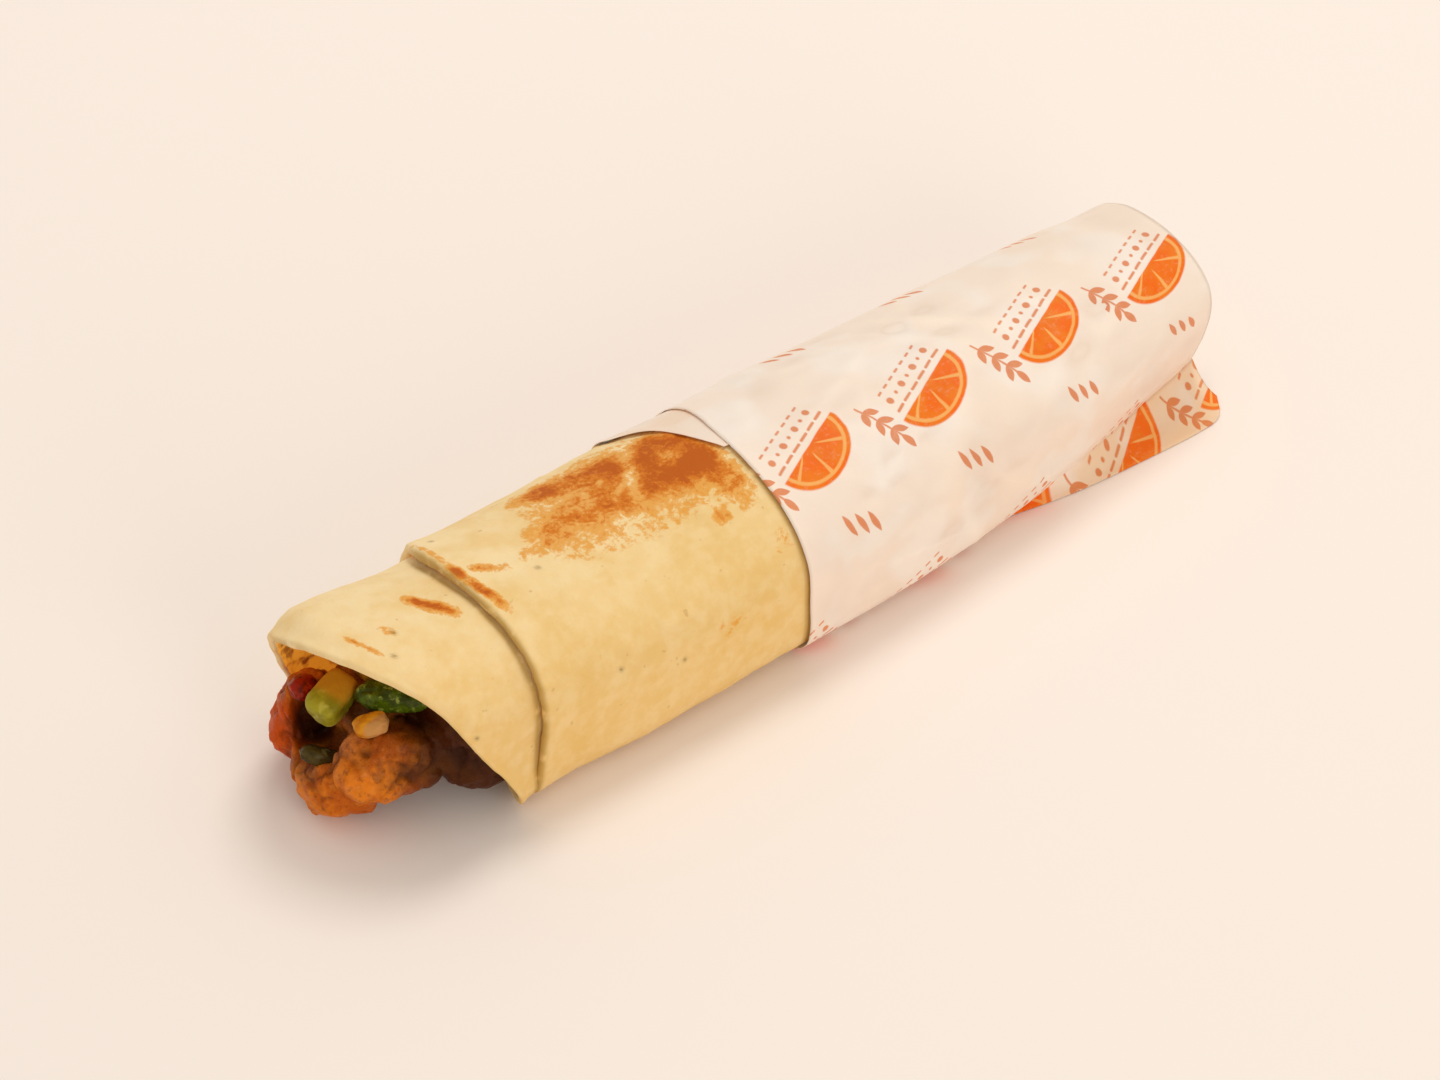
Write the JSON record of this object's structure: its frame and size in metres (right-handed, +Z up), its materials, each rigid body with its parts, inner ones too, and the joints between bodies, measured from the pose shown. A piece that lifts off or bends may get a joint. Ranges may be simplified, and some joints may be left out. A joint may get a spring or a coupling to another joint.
{
  "type": "rolled flatbread wrap in paper",
  "caption": "Rolled flatbread wrap with grilled meat and vegetables at its open end, half wrapped in thin printed paper.",
  "frame": {"origin": "on the ground under the middle of the wrap as it lies", "axes": "+X along the wrap from the open end to the folded paper end, +Y away from the near side, +Z up"},
  "size_m": [0.2589, 0.0639, 0.0504],
  "materials": {
    "flatbread": "soft baked flatbread, pale with toasted patches",
    "meat": "glossy browned meat in sauce",
    "pickle": "moist pale green flesh",
    "green_pepper": "moist green pepper",
    "dark_pepper": "moist dark green strip",
    "yellow_pepper": "moist yellow pepper",
    "tomato": "moist red tomato",
    "paper": "thin greaseproof paper with an orange print"
  },
  "bodies": {
    "root": {"flatbread": "flatbread", "meat_filling": "meat", "lime_pickle": "pickle", "green_pepper": "green_pepper", "pepper_strip": "dark_pepper", "yellow_pepper": "yellow_pepper", "yellow_strip": "yellow_pepper", "tomato_bit": "tomato", "paper_wrap": "paper"}
  },
  "joints": []
}
